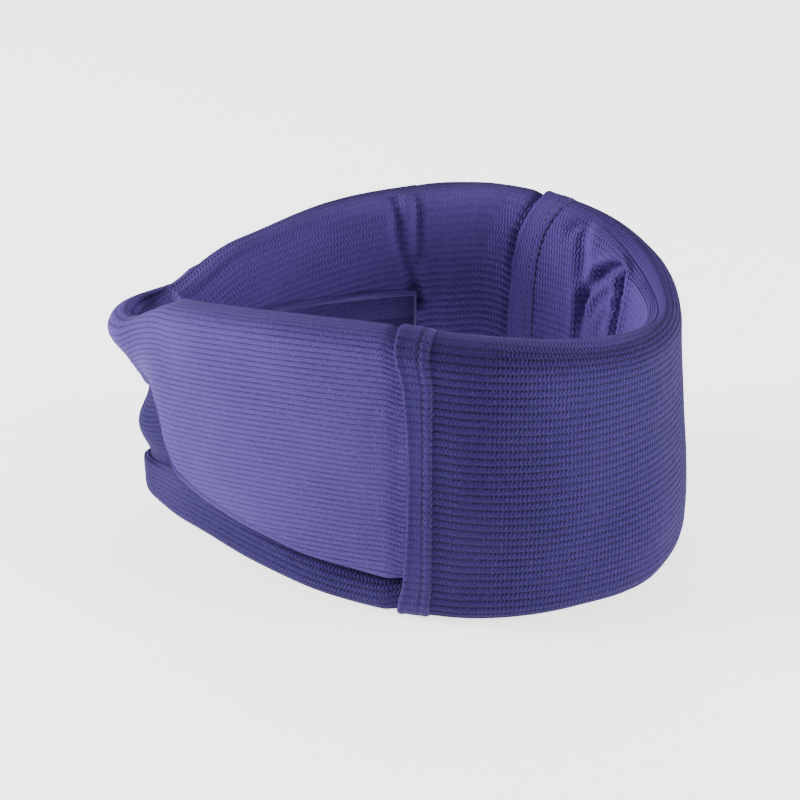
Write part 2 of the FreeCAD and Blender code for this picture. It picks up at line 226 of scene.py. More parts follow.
def enlarge(grid, rows, cols):
    # smooth resampling of a tube of points, wrapped round its columns
    n, m = grid.shape[:2]
    out = grid
    for axis in (0, 1):
        if axis == 0:
            at = np.linspace(0, n - 1, rows)
            i = np.clip(np.floor(at).astype(int), 0, n - 2)
            idx = [np.clip(i + k, 0, n - 1) for k in (-1, 0, 1, 2)]
        else:
            at = np.arange(cols) * m / cols
            i = np.floor(at).astype(int)
            idx = [(i + k) % m for k in (-1, 0, 1, 2)]
        t = (at - i).reshape((-1, 1, 1) if axis == 0 else (1, -1, 1))
        p = [np.take(out, k, axis=axis) for k in idx]
        out = 0.5 * (2 * p[1] + (p[2] - p[0]) * t + (2 * p[0] - 5 * p[1] + 4 * p[2] - p[3]) * t ** 2
                     + (3 * p[1] - p[0] - 3 * p[2] + p[3]) * t ** 3)
    return out


def tubeMesh(name, p, uv, capRows=4, closed=False):
    # skin over a grid of points wrapped round its columns; its ends are domed, or joined to each other
    n, m = p.shape[:2]
    rows, uvRows = p, uv
    if not closed and capRows:
        caps = []
        for end, inner in ((0, 2), (-1, -3)):
            centre = p[end].mean(axis=0)
            way = centre - p[inner].mean(axis=0)
            way /= max(np.linalg.norm(way), 1e-9)
            rings = []
            for k in range(1, capRows + 1):
                t = k / (capRows + 1)
                spine = centre + (p[end] - centre) * np.array([0.03, 0.03, 0.8])
                dome = way * 0.7 * math.sin(t * 1.57)
                rings.append(p[end] + (spine - p[end]) * (1 - math.cos(t * 1.4)) + dome)
            caps.append(rings)
        rows = np.array(caps[0][::-1] + list(p) + caps[1])
        uvRows = np.concatenate([np.repeat(uv[:1], capRows, 0), uv, np.repeat(uv[-1:], capRows, 0)])
    if closed:
        rows = np.concatenate([rows, rows[:1]])
        uvRows = np.concatenate([uvRows, 2 * uvRows[-1:] - uvRows[-2:-1]])
    n = rows.shape[0]
    i, j = np.meshgrid(np.arange(n - 1), np.arange(m), indexing="ij")
    jn = (j + 1) % m
    ring = n - 1 if closed else n
    a, b = i, (i + 1) % ring
    quads = np.stack([a * m + j, a * m + jn, b * m + jn, b * m + j], axis=-1).reshape(-1, 4)
    ends = [] if closed else [list(range(m - 1, -1, -1)), [int(k) for k in (n - 1) * m + np.arange(m)]]
    mesh = bpy.data.meshes.new(name)
    mesh.from_pydata((rows[:ring].reshape(-1, 3) * mm).tolist(), [], quads.tolist() + ends)
    layer = mesh.uv_layers.new(name="knit")
    step = uvRows[:, -1, 1] - uvRows[:, -2, 1]
    quadUv = []
    for row, col in ((i, j), (i, jn), (i + 1, jn), (i + 1, j)):
        past = (j == m - 1) & (col == jn)
        rib = np.where(past, uvRows[row, -1, 1] + step[row], uvRows[row, col, 1])
        quadUv.append(np.stack([uvRows[row, col, 0], rib], axis=-1))
    flat = np.stack(quadUv, axis=2).reshape(-1, 2)
    full = np.zeros((len(mesh.loops), 2))
    full[:len(flat)] = flat
    layer.data.foreach_set("uv", full.reshape(-1).astype(np.float32))
    mesh.polygons.foreach_set("use_smooth", np.ones(len(mesh.polygons), bool))
    mesh.update()
    obj = bpy.data.objects.new(name, mesh)
    bpy.context.scene.collection.objects.link(obj)
    return obj


def turnOutward(obj):
    bpy.ops.object.select_all(action="DESELECT")
    obj.select_set(True)
    bpy.context.view_layer.objects.active = obj
    bpy.ops.object.mode_set(mode="EDIT")
    bpy.ops.mesh.select_all(action="SELECT")
    bpy.ops.mesh.normals_make_consistent(inside=False)
    bpy.ops.object.mode_set(mode="OBJECT")
    bpy.ops.object.select_all(action="DESELECT")
    return obj


cloth = {"pressure": 4.0, "frames": 14, "cap": 1.5, "rows": 46, "around": 40}


def puff(name, points):
    # cloth simulation with air pressure on a light copy, ends held; gives how far each point moved
    cage = enlarge(points, cloth["rows"], cloth["around"])
    work = turnOutward(tubeMesh(name + "_cage", cage, np.zeros(cage.shape[:2] + (2,)), capRows=0))
    held = work.vertex_groups.new(name="held")
    m = cloth["around"]
    held.add(list(range(2 * m)) + list(range((cloth["rows"] - 2) * m, cloth["rows"] * m)), 1.0, "REPLACE")
    soft = work.modifiers.new("Cloth", "CLOTH")
    soft.settings.quality = 5
    soft.settings.mass = 0.2
    soft.settings.tension_stiffness = 20
    soft.settings.compression_stiffness = 20
    soft.settings.shear_stiffness = 10
    soft.settings.bending_stiffness = 1.0
    soft.settings.use_pressure = True
    soft.settings.uniform_pressure_force = cloth["pressure"]
    soft.settings.vertex_group_mass = "held"
    soft.settings.effector_weights.gravity = 0
    soft.collision_settings.use_collision = False
    soft.point_cache.frame_start = 1
    soft.point_cache.frame_end = cloth["frames"]
    for f in range(1, cloth["frames"] + 1):
        bpy.context.scene.frame_set(f)
    shown = work.evaluated_get(bpy.context.evaluated_depsgraph_get())
    co = np.empty(len(shown.data.vertices) * 3)
    shown.data.vertices.foreach_get("co", co)
    moved = co.reshape(cage.shape) / mm - cage
    bpy.context.scene.frame_set(1)
    bpy.data.objects.remove(work)
    far = np.linalg.norm(moved, axis=2, keepdims=True)
    print("puffed", name, "by up to", round(float(far.max()), 2), "mm")
    moved *= np.minimum(1, cloth["cap"] / np.maximum(far, 1e-9))
    return enlarge(moved, points.shape[0], points.shape[1])


def toLine(s, w, line):
    # shortest distance from points (s, w) to a run of straight lines, and how far along it that is
    best = np.full(np.broadcast(s, w).shape, 1e9)
    share = np.zeros_like(best)
    line = np.asarray(line, float)
    lengths = np.linalg.norm(np.diff(line, axis=0), axis=1)
    before = np.concatenate([[0], np.cumsum(lengths)])
    for k, (a, b) in enumerate(zip(line[:-1], line[1:])):
        d = b - a
        t = np.clip(((s - a[0]) * d[0] + (w - a[1]) * d[1]) / (d @ d), 0, 1)
        dist = np.hypot(s - a[0] - t * d[0], w - a[1] - t * d[1])
        near = dist < best
        best = np.where(near, dist, best)
        share = np.where(near, (before[k] + t * lengths[k]) / before[-1], share)
    return best, share


def crease(s, w, line, depth, width, lip=0.3):
    # a valley pressed in along the line, with a soft lip either side, fading at both ends
    dist, share = toLine(s, w, line)
    ends = smooth(0, 0.2, share) * smooth(1, 0.8, share)
    valley = -np.exp(-(dist / width) ** 2)
    lips = lip * np.exp(-((dist - 2.1 * width) / (1.1 * width)) ** 2)
    return depth * (valley + lips) * (0.15 + 0.85 * ends) * (dist < 6 * width)


def ribs(phase, valley=0.17):
    # wide flat ridges and narrow valleys: 0 on a ridge, -1 in a valley
    return -np.exp(-((phase - np.round(phase)) / valley) ** 2)


foamInset = 1.9    # from a cover's outside to its foam


def knitTube(name, look, stations, sectionAt, shape=None, holdPuff=None, skew=None):
    # padded tube in ribbed knit: lay the section, let the air in, press the creases, then raise the ribs;
    # gives the cover and the skin of the foam inside it
    s = np.asarray(stations, float)
    o, z, fade, across = layGrid(s, sectionAt, look["outer"], look["inner"], look["fit"])
    S = np.repeat(s[:, None], o.shape[1], axis=1)
    W = np.repeat(across[None, :], len(s), axis=0)
    if skew is not None:
        S = S + skew(S, o, z)
    p = gridPoints(S, o, z)
    moved = puff(name, p)
    if holdPuff is not None:
        moved = moved * holdPuff(S, o, z)[..., None]
    p = p + moved
    n = gridNormals(p)
    core = p - n * foamInset
    if shape is not None:
        raised = shape(S, o, z, W)
        low = raised                                     # the foam keeps clear of the deepest crease near it
        for rows in (1, 2, 4):
            low = np.minimum(low, np.minimum(np.roll(low, rows, 0), np.roll(low, -rows, 0)))
        for cols in (1, 2, 4, 8):
            low = np.minimum(low, np.minimum(np.roll(low, cols, 1), np.roll(low, -cols, 1)))
        core = p + n * (np.minimum(low, 0) - foamInset)[..., None]
        p = p + n * raised[..., None]
        n = gridNormals(p)
    core = core[::2, ::4]
    phase = W / look["pitch"]
    wander = ripple(look["seed"], S, W, 60, 40) * look["wander"]
    round_ = np.roll(p, -1, axis=1) - np.roll(p, 1, axis=1)
    round_ /= np.maximum(np.linalg.norm(round_, axis=2, keepdims=True), 1e-9)
    depth = look["depth"] * (1 + 0.25 * ripple(look["seed"] + 1, S, W, 33, 21))
    depth = depth * (1 - look["topFade"] * bell(W, 0, 7.0)) * fade
    p = p + n * (ribs(phase) * depth)[..., None] + round_ * (wander * fade)[..., None]
    p[..., 2] = np.maximum(p[..., 2], 0.05)              # pressed flat where it stands
    core[..., 2] = np.maximum(core[..., 2], 1.5)
    obj = tubeMesh(name, p, np.stack([S, phase], axis=-1))
    print("made", name, len(obj.data.polygons))
    return obj, core


def foamCore(name, core, nodes, ride):
    # the foam stops short of its cover's ends
    u, v = np.meshgrid(np.arange(core.shape[1]), np.arange(len(core)))
    obj = tubeMesh(name, core, np.stack([v, u], axis=-1).astype(float))
    obj.data.materials.append(openFoam)
    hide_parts(*nodes)
    ride(obj)
    print("made", name, len(obj.data.polygons))
    return obj


# materials

def knitMaterial(name, ridge, valley, pale, neckToneAndFill, course, bumpDepth):
    # ribbed knit: the map's v counts ribs, its u is millimetres along the band
    mat = bpy.data.materials.new(name)
    mat.use_nodes = True
    nt = mat.node_tree
    nodes, link = nt.nodes, nt.links.new
    shader = nodes["Principled BSDF"]

    def add(kind, **values):
        node = nodes.new(kind)
        for key, val in values.items():
            setattr(node, key, val)
        return node

    def math_(kind, a, b=None, c=None):
        node = add("ShaderNodeMath", operation=kind)
        for k, v in enumerate((a, b, c)):
            if v is None:
                continue
            if isinstance(v, (int, float)):
                node.inputs[k].default_value = v
            else:
                link(v, node.inputs[k])
        return node.outputs[0]

    def mix(factor, a, b, kind="MIX"):
        node = add("ShaderNodeMix", data_type="RGBA", blend_type=kind)
        for socket, v in ((0, factor), (6, a), (7, b)):
            if isinstance(v, (int, float, tuple)):
                node.inputs[socket].default_value = v
            else:
                link(v, node.inputs[socket])
        return node.outputs[2]

    uv = add("ShaderNodeUVMap", uv_map="knit")
    split = add("ShaderNodeSeparateXYZ")
    link(uv.outputs[0], split.inputs[0])
    along, rib = split.outputs[0], split.outputs[1]
    coord = add("ShaderNodeTexCoord")
    soft = add("ShaderNodeTexNoise")
    soft.inputs["Scale"].default_value = 28
    soft.inputs["Detail"].default_value = 3
    link(coord.outputs["Object"], soft.inputs["Vector"])
    fuzz = add("ShaderNodeTexNoise")
    fuzz.inputs["Scale"].default_value = 1500
    fuzz.inputs["Detail"].default_value = 4
    link(coord.outputs["Object"], fuzz.inputs["Vector"])
    # distance from the nearest valley, in ribs
    wobble = math_("MULTIPLY_ADD", fuzz.outputs[0], 0.16, -0.08)
    place = math_("ADD", math_("ADD", rib, 0.5), wobble)
    fromValley = math_("ABSOLUTE", math_("SUBTRACT", math_("FRACT", place), 0.5))
    ridgeMask = add("ShaderNodeMapRange", interpolation_type="SMOOTHSTEP")
    link(fromValley, ridgeMask.inputs[0])
    ridgeMask.inputs[1].default_value = 0.02
    ridgeMask.inputs[2].default_value = 0.24
    # one stitch after another along each rib, leaning in turn on either flank
    lean = math_("MULTIPLY", math_("PINGPONG", rib, 0.5), 1.3)
    beat = math_("SINE", math_("MULTIPLY", math_("ADD", along, lean), 6.2832 / course))
    stitch = math_("MULTIPLY_ADD", beat, 0.5, 0.5)
    dots = math_("MULTIPLY", stitch, math_("SUBTRACT", 1.0, ridgeMask.outputs[0]))
    # the valley colour is painted shade: it darkens the narrow rib valleys, on top of the ribs raised in the
    # mesh
    base = mix(ridgeMask.outputs[0], valley, ridge)
    base = mix(math_("MULTIPLY", dots, 0.55), base, ridge)
    # the neck side is less stretched, so it is lighter and its valleys are shallower; its colour is also
    # lifted as painted fill light, standing in for light reaching inside the ring
    inside = add("ShaderNodeMapRange", interpolation_type="SMOOTHSTEP")
    link(rib, inside.inputs[0])
    inside.inputs[1].default_value = 3.0
    inside.inputs[2].default_value = -3.0
    base = mix(math_("MULTIPLY", inside.outputs[0], 0.72), base, neckToneAndFill)
    cloud = add("ShaderNodeMapRange")
    link(soft.outputs[0], cloud.inputs[0])
    cloud.inputs[1].default_value = 0.3
    cloud.inputs[2].default_value = 0.7
    cloud.inputs[3].default_value = 0.0
    cloud.inputs[4].default_value = 0.22
    base = mix(cloud.outputs[0], base, pale)
    lint = add("ShaderNodeMapRange")
    link(fuzz.outputs[0], lint.inputs[0])
    lint.inputs[1].default_value = 0.52
    lint.inputs[2].default_value = 0.75
    lint.inputs[4].default_value = 0.6
    base = mix(lint.outputs[0], base, pale)
    link(base, shader.inputs["Base Color"])
    rough = math_("MULTIPLY_ADD", fuzz.outputs[0], 0.12, 0.84)
    link(rough, shader.inputs["Roughness"])
    shader.inputs["Sheen Weight"].default_value = 0.02
    shader.inputs["Sheen Roughness"].default_value = 0.55
    shader.inputs["Sheen Tint"].default_value = (0.62, 0.58, 0.95, 1)
    shader.inputs["Specular IOR Level"].default_value = 0.12
    height = math_("ADD", math_("MULTIPLY", stitch, 0.6), math_("MULTIPLY", fuzz.outputs[0], 0.9))
    bump = add("ShaderNodeBump")
    bump.inputs["Strength"].default_value = 0.8
    bump.inputs["Distance"].default_value = bumpDepth
    link(height, bump.inputs["Height"])
    link(bump.outputs[0], shader.inputs["Normal"])
    return mat


# colours on the ribs, between them (darkened as painted shade), in the lint and on the neck side (lighter
# knit plus painted fill light); the length of a stitch in millimetres and the height of the weave in metres
knitLooks = {
    "sleeveKnit": {"ridge": (0.0126, 0.0063, 0.0545, 1), "valley": (0.0012, 0.0006, 0.0090, 1),
                   "pale": (0.0400, 0.0260, 0.1150, 1), "neckToneAndFill": (0.0760, 0.0470, 0.2200, 1),
                   "course": 1.15, "bumpDepth": 0.00036},
    "hemKnit": {"ridge": (0.0210, 0.0120, 0.0740, 1), "valley": (0.0060, 0.0034, 0.0300, 1),
                "pale": (0.0480, 0.0330, 0.1300, 1), "neckToneAndFill": (0.0760, 0.0470, 0.2200, 1),
                "course": 1.15, "bumpDepth": 0.00024},
    "panelKnit": {"ridge": (0.0420, 0.0240, 0.1300, 1), "valley": (0.0055, 0.0028, 0.0320, 1),
                  "pale": (0.0860, 0.0600, 0.2150, 1), "neckToneAndFill": (0.0420, 0.0240, 0.1300, 1),
                  "course": 0.95, "bumpDepth": 0.00034},
}
sleeveKnit, hemKnit, panelKnit = [knitMaterial(name, **look) for name, look in knitLooks.items()]


def plainMaterial(name, roughness):
    mat = bpy.data.materials.new(name)
    mat.use_nodes = True
    nodes, link = mat.node_tree.nodes, mat.node_tree.links.new
    shader = nodes["Principled BSDF"]
    shader.inputs["Roughness"].default_value = roughness
    return mat, nodes, link, shader, nodes.new("ShaderNodeTexCoord").outputs["Object"]


def pattern(nodes, link, place, kind, scale):
    node = nodes.new(kind)
    node.inputs["Scale"].default_value = scale
    link(place, node.inputs["Vector"])
    return node


def ramp(nodes, link, source, low, high, ends=(0, 1)):
    node = nodes.new("ShaderNodeValToRGB")
    for element, colour, at in zip(node.color_ramp.elements, (low, high), ends):
        element.color = colour
        element.position = at
    link(source, node.inputs[0])
    return node.outputs[0]


def roughen(nodes, link, shader, height, distance, invert=False):
    node = nodes.new("ShaderNodeBump")
    node.invert = invert
    node.inputs["Distance"].default_value = distance
    link(height, node.inputs["Height"])
    link(node.outputs[0], shader.inputs["Normal"])


def foamMaterial():
    # open cell foam, buff, with small dark cells
    mat, nodes, link, shader, place = plainMaterial("openFoam", 0.95)
    cells = pattern(nodes, link, place, "ShaderNodeTexVoronoi", 900).outputs["Distance"]
    cloud = pattern(nodes, link, place, "ShaderNodeTexNoise", 40).outputs[0]
    tint = nodes.new("ShaderNodeMix")
    tint.data_type = "RGBA"
    tint.inputs[7].default_value = (0.86, 0.80, 0.62, 1)
    link(cloud, tint.inputs[0])
    buff = ramp(nodes, link, cells, (0.45, 0.40, 0.27, 1), (0.80, 0.75, 0.60, 1), (0.05, 0.45))
    link(buff, tint.inputs[6])
    link(tint.outputs[2], shader.inputs["Base Color"])
    shader.inputs["Specular IOR Level"].default_value = 0.1
    roughen(nodes, link, shader, cells, 0.0004)
    return mat


def threadMaterial():
    # twisted thread: fine slanted plies on a dark purple
    mat, nodes, link, shader, place = plainMaterial("seamThread", 0.75)
    wave = pattern(nodes, link, place, "ShaderNodeTexWave", 900)
    wave.bands_direction = "DIAGONAL"
    wave.inputs["Distortion"].default_value = 1.5
    plies = wave.outputs[0]
    purple = ramp(nodes, link, plies, (0.018, 0.010, 0.064, 1), (0.048, 0.034, 0.130, 1))
    link(purple, shader.inputs["Base Color"])
    roughen(nodes, link, shader, plies, 0.00012)
    return mat


def tapeMaterial(name, dark, light, scale, depth):
    # woven tape with a dense pile of loops or hooks
    mat, nodes, link, shader, place = plainMaterial(name, 0.7)
    pile = pattern(nodes, link, place, "ShaderNodeTexVoronoi", scale).outputs["Distance"]
    link(ramp(nodes, link, pile, light, dark, (0, 0.6)), shader.inputs["Base Color"])
    roughen(nodes, link, shader, pile, depth, invert=True)
    return mat


openFoam = foamMaterial()
seamThread = threadMaterial()
hookTape = tapeMaterial("hookTape", (0.035, 0.028, 0.10, 1), (0.10, 0.085, 0.22, 1), 900, 0.0004)
loopTape = tapeMaterial("loopTape", (0.06, 0.05, 0.17, 1), (0.15, 0.12, 0.33, 1), 1400, 0.0003)
print("materials ready")


# where things are along the band

hemAngle = math.degrees(egg["hemWidth"] / (egg["frontRadius"] + egg["thick"]))
rightMouth = sAtAngle(egg["rightMouth"])
rightHemEdge = sAtAngle(egg["rightMouth"] + hemAngle)
leftMouth = sAtAngle(egg["leftMouth"])
leftHemEdge = sAtAngle(egg["leftMouth"] - hemAngle)
tip = -halfRound
notch = sAtX(1.0, 1)

# front sleeve

frontSleeve = {
    "outer": 6 * 42, "inner": 6 * 42,     # columns down the outside and up the neck side
    "fit": "even", "seed": 11, "wander": 0.22,
    "depth": 0.30, "topFade": 0.55, "ribCount": 84,
    "topRoll": 8.3, "lowRoll": 7.0,       # rounded edges
    "farLift": 2.0, "shoulderLift": 1.6,  # how much the far side and its shoulder stand higher
    "belly": 0.9, "dish": 2.2, "footSwell": 2.6, "neckSwell": 0.9,
    "uneven": 0.35, "chinOpen": 5.5,      # the neck side opens out over the chin
    "softNearHems": 0.12,
}


def sleeveTop(s):
    far = frontSleeve["farLift"] * float(smooth(5, 60, s))
    shoulder = frontSleeve["shoulderLift"] * float(bell(s, 48, 22))
    return float(archAt(s)) + (far + shoulder)


def sleeveSection(s):
    top, thick = sleeveTop(s), egg["thick"]
    topRoll, lowRoll = frontSleeve["topRoll"], frontSleeve["lowRoll"]
    return [(thick, top), (thick, 0), (0, 0), (0, top)], (topRoll, lowRoll, lowRoll, topRoll), 1


def atHeight(s, side, z):
    # distance round the sleeve section from its top: outside positive, neck side negative
    pts, way = roundedLoop(*sleeveSection(s)[:2])
    total = way[-1]
    at = np.linspace(0, total, 1600)
    o, h = np.interp(at, way, pts[:, 0]), np.interp(at, way, pts[:, 1])
    wrong = (o > halfThick) if side < 0 else (o < halfThick)
    w = at[np.argmin(np.abs(h - z) + wrong * 999)]
    return (w if side > 0 else w - total) * frontSleeve["around"] / total


def longestRound(sectionAt, a, b):
    return max(roundedLoop(*sectionAt(s)[:2])[1][-1] for s in np.linspace(a, b, 60))


frontSleeve["around"] = longestRound(sleeveSection, rightHemEdge, leftHemEdge)
frontSleeve["pitch"] = frontSleeve["around"] / frontSleeve["ribCount"]


def frontS(angle):
    return math.radians(angle) * (egg["frontRadius"] + halfThick)


# the inside of the chin bend bunches up: each crease's points, as angles about the front centre and
# heights, and then its depth and width
bends = [
    ([(56, 36), (53, 50), (51.3, 64), (48, 69.6), (42.8, 75.4), (32.4, 81.6), (20, 85)], 3.6, 1.7),
    ([(49, 50), (46, 60), (43, 66), (36, 71), (28, 74)], 0.8, 1.5),
    ([(43, 52), (40, 60), (35, 65.5), (28, 68)], 0.6, 1.5),
    ([(40, 46), (34, 55), (27, 59)], 0.5, 1.5),
    ([(67.5, 68), (65.6, 80), (60.6, 86.6), (52.9, 90.8), (43, 93)], 1.5, 2.3),
    ([(60, 30), (58, 48), (56, 66)], 0.6, 2.4),
    ([(5, 12), (-6, 24), (-20, 33)], 1.0, 2.0),
    ([(30, 10), (22, 22), (10, 30)], 1.0, 2.0),
    ([(-30, 30), (-40, 46), (-52, 60)], 0.9, 2.2),
]


def rightSkew(o, z):
    # the right mouth leans back at its top and foot, and bows forward between
    return -1.2 - 1.6 * smooth(78, 92, z) - 0.8 * smooth(14, 2, z)


def leftSkew(o, z):
    # the left mouth is cut on a slant: further round at its foot than over the top
    slant = np.interp(z, (0, 42, 63, 73, 83, 92, 98), (10.4, 10.2, 9.7, 9.0, 6.4, 1.8, -3.0))
    return slant * (0.35 + 0.65 * smooth(14, 7, o))


def sleeveSkew(S, o, z):
    nearRight, nearLeft = smooth(rightHemEdge + 20, rightHemEdge, S), smooth(leftHemEdge - 30, leftHemEdge, S)
    return rightSkew(o, z) * nearRight + leftSkew(o, z) * nearLeft


def sleeveShape(S, o, z, W):
    top = archAt(S)
    mid = 1 - (2 * z / top - 1) ** 2
    outside = smooth(6, 12, o)
    hollow = smooth(30, 74, z) * smooth(30, 5, S) * smooth(-85, -40, S)
    out = outside * (frontSleeve["belly"] * mid - frontSleeve["dish"] * hollow)
    swollen = smooth(46, 12, z) * smooth(-56, -26, S) * smooth(40, 12, S)
    out = out + outside * frontSleeve["footSwell"] * swollen
    out = out + (1 - outside) * frontSleeve["neckSwell"] * mid * bell(S, -20, 60)
    out = out + frontSleeve["uneven"] * ripple(21, S, W, 70, 60)
    out = out - frontSleeve["chinOpen"] * (1 - outside) * smooth(40, 88, z) * bell(S, 12, 34)
    for points, depth, width in bends:
        line = [(frontS(a), atHeight(frontS(a), -1, h)) for a, h in points]
        out = out + crease(S, W, line, depth, width)
    held = smooth(rightHemEdge, rightHemEdge + 6, S) * smooth(leftHemEdge, leftHemEdge - 6, S)
    return out * (frontSleeve["softNearHems"] + (1 - frontSleeve["softNearHems"]) * held)


def sleeveHold(S, o, z):
    return smooth(rightHemEdge, rightHemEdge + 12, S) * smooth(leftHemEdge, leftHemEdge - 12, S)


stations = np.linspace(rightHemEdge - 1.0, leftHemEdge + 1.0, 180)
sleeve, core = knitTube("frontSleeve", frontSleeve, stations,
                        sleeveSection, sleeveShape, sleeveHold, sleeveSkew)
sleeve.data.materials.append(sleeveKnit)
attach(sleeve, "front")
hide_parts("front_sleeve")
foamCore("frontFoam", core[2:-2], ["front_foam"], lambda obj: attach(obj, "front"))

# turned hems round the sleeve's two mouths

hem = {
    "proud": 0.8, "lip": 0.4, "inner": -0.5,      # stands out by, thicker free edge, and its underside
    "bow": 3.2, "ribDepth": 0.09,
    "seamAt": (0.9, 3.7), "seamDip": 0.3, "seamWidth": 0.5,
    "neckFlat": 0.5, "lowestOut": -0.45, "lowestIn": -0.15,
}
stitch = {
    "pitch": 2.3, "long": 1.7, "radius": 0.17, "sides": 6,
    # along the stitch, share of its thickness and height above the cloth
    "turns": ((-0.5, 0.25, -0.18), (-0.42, 0.75, -0.02), (-0.2, 1.0, 0.1),
              (0.2, 1.0, 0.1), (0.42, 0.75, -0.02), (0.5, 0.25, -0.18)),
}
seams = []


def stitchRow(name, rows, node):
    # separate threads that dip into the cloth between one stitch and the next
    verts, faces = [], []
    for line, out in rows:
        line = np.vstack([line, line[:1]])
        out = np.vstack([out, out[:1]])
        out = out / np.linalg.norm(out, axis=1, keepdims=True)
        way = np.concatenate([[0], np.cumsum(np.linalg.norm(np.diff(line, axis=0), axis=1))])
        count = int(way[-1] / stitch["pitch"])
        for k in range(count):
            mid = (k + 0.5) * way[-1] / count
            first = len(verts)
            for at, fat, up in stitch["turns"]:
                w = mid + at * stitch["long"]
                p = np.array([np.interp(w, way, line[:, c]) for c in range(3)])
                q = np.array([np.interp(w + 0.2, way, line[:, c]) for c in range(3)])
                n = np.array([np.interp(w, way, out[:, c]) for c in range(3)])
                d = (q - p) / max(np.linalg.norm(q - p), 1e-9)
                n -= d * (n @ d)
                n /= np.linalg.norm(n)
                b = np.cross(d, n)
                centre = p + n * up
                for a in range(stitch["sides"]):
                    g = a / stitch["sides"] * 6.2832
                    ring = (n * math.cos(g) + b * math.sin(g)) * stitch["radius"] * fat
                    verts.append((centre + ring) * mm)
            m = stitch["sides"]
            for r in range(len(stitch["turns"]) - 1):
                for a in range(m):
                    b = (a + 1) % m
                    near, far = first + r * m, first + (r + 1) * m
                    faces.append((near + a, near + b, far + b, far + a))
            faces.append(tuple(first + a for a in reversed(range(m))))
            faces.append(tuple(first + (len(stitch["turns"]) - 1) * m + a for a in range(m)))
    mesh = bpy.data.meshes.new(name)
    mesh.from_pydata([tuple(float(c) for c in v) for v in verts], [], faces)
    mesh.polygons.foreach_set("use_smooth", np.ones(len(mesh.polygons), bool))
    obj = bpy.data.objects.new(name, mesh)
    bpy.context.scene.collection.objects.link(obj)
    turnOutward(obj)
    obj.data.materials.append(seamThread)
    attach(obj, "front")
    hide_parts(node)
    print("sewed", name, len(mesh.polygons))


def hemRing(name, hemEdge, mouth, node, full):
    # a flat band of doubled cloth: its own thin section is carried round the sleeve's section
    toward = 1 if mouth > hemEdge else -1
    length = abs(mouth - hemEdge)
    top = np.linspace(0.1, 11.0, 26)
    t = np.concatenate([top, [11.6, 12.0, 12.1, 11.9, 11.4], np.linspace(10.6, 1.5, 8), [1.25, 1.2, 0.6]])
    outward = 0.06 + hem["proud"] * smooth(0, 2.2, top) + hem["lip"] * bell(top, 10.9, 1.1)
    for at in hem["seamAt"]:
        outward -= hem["seamDip"] * bell(top, at, hem["seamWidth"])
    edge = [hem["proud"] + 0.25, hem["proud"] - 0.05, 0.3, -0.1, -0.4]
    h = np.concatenate([outward, edge, np.full(8, hem["inner"]), [-0.4, -0.1, 0.02]])
    t = t / egg["hemWidth"] * length
    around = 6 * frontSleeve["ribCount"]
    # from the bottom up the neck side, over the top, and down the outside
    share = np.arange(around) / around - 0.5
    grid = np.empty((around, len(t), 3))
    uv = np.empty((around, len(t), 2))
    for k, (tk, hk) in enumerate(zip(t, h)):
        s = hemEdge + toward * tk
        pts, way = roundedLoop(*sleeveSection(s)[:2])
        at = (share % 1) * way[-1]
        o, z = np.interp(at, way, pts[:, 0]), np.interp(at, way, pts[:, 1])
        do = np.roll(o, -1) - np.roll(o, 1)
        dz = np.roll(z, -1) - np.roll(z, 1)
        size = np.hypot(do, dz)
        no, nz = -dz / size, do / size
        if (no * (o - halfThick)).sum() < 0:
            no, nz = -no, -nz
        out = tk / length                          # 0 at the seam, 1 at the free edge
        bend = 0.0
        if toward < 0:
            bend = hem["bow"] * (1 - (2 * z / sleeveTop(s) - 1) ** 2) * smooth(6, 12, o) * out ** 2
            bend = bend + 0.35 * ripple(31, share * 200, share * 0, 50, 50) * out
        rib = ribs(share * frontSleeve["ribCount"]) * hem["ribDepth"] * (hk > -0.5) * (0.6 + 0.4 * (1 - out))
        lift = hk * (1 if hk < 0 else full) * (1 - hem["neckFlat"] * smooth(9, 5, o) * (hk > 0)) + rib
        lift = lift + 0.18 * ripple(32, share * 200, share * 0 + tk, 40, 30) * out
        lower = smooth(3.0, 0.0, z) * smooth(0.2, 1.0, lift) * 0.35
        lean = rightSkew(o, z) if toward < 0 else leftSkew(o, z)
        grid[:, k] = gridPoints(s + bend + lean, o + no * lift, z + nz * (lift - lower))
        uv[:, k, 0] = s
        uv[:, k, 1] = share * frontSleeve["ribCount"]
    grid[..., 2] = np.maximum(grid[..., 2], np.where(h > 0, hem["lowestOut"], hem["lowestIn"]))
    obj = tubeMesh(name, grid, uv, closed=True)
    turnOutward(obj)
    for at in hem["seamAt"]:
        k = int(np.argmin(np.abs(top - at)))
        seams.append((grid[:, k], grid[:, k] - grid[:, -6]))
    obj.data.materials.append(hemKnit)
    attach(obj, "front")
    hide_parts(node)
    print("made", name, len(obj.data.polygons))
    return obj


hemRing("hemRight", rightHemEdge, rightMouth, "sleeve_hem_right", 1.0)
hemRing("hemLeft", leftHemEdge, leftMouth, "sleeve_hem_left", 0.6)
stitchRow("hemSeamRight", seams[:2], "hem_stitching_right")
stitchRow("hemSeamLeft", seams[2:], "hem_stitching_left")

# right arm: full height beside the neck, with a fat lower roll that the closing panel sits on

rightSide = {
    "outer": 6 * 42, "inner": 6 * 42, "fit": "even", "seed": 41, "wander": 0.3,
    "depth": 0.28, "topFade": 0.3, "ribs": 84,
    "tuck": 6.0, "innerThick": 8.4, "topDrop": 6.0,
    "mouthGap": 0.9, "endSunk": 10.4, "endSeat": 18.6,
    "drawIn": 4.3, "liftUp": 3.4,         # the lower roll towards the back
    "endBulge": 4.6, "uneven": 0.45,
}

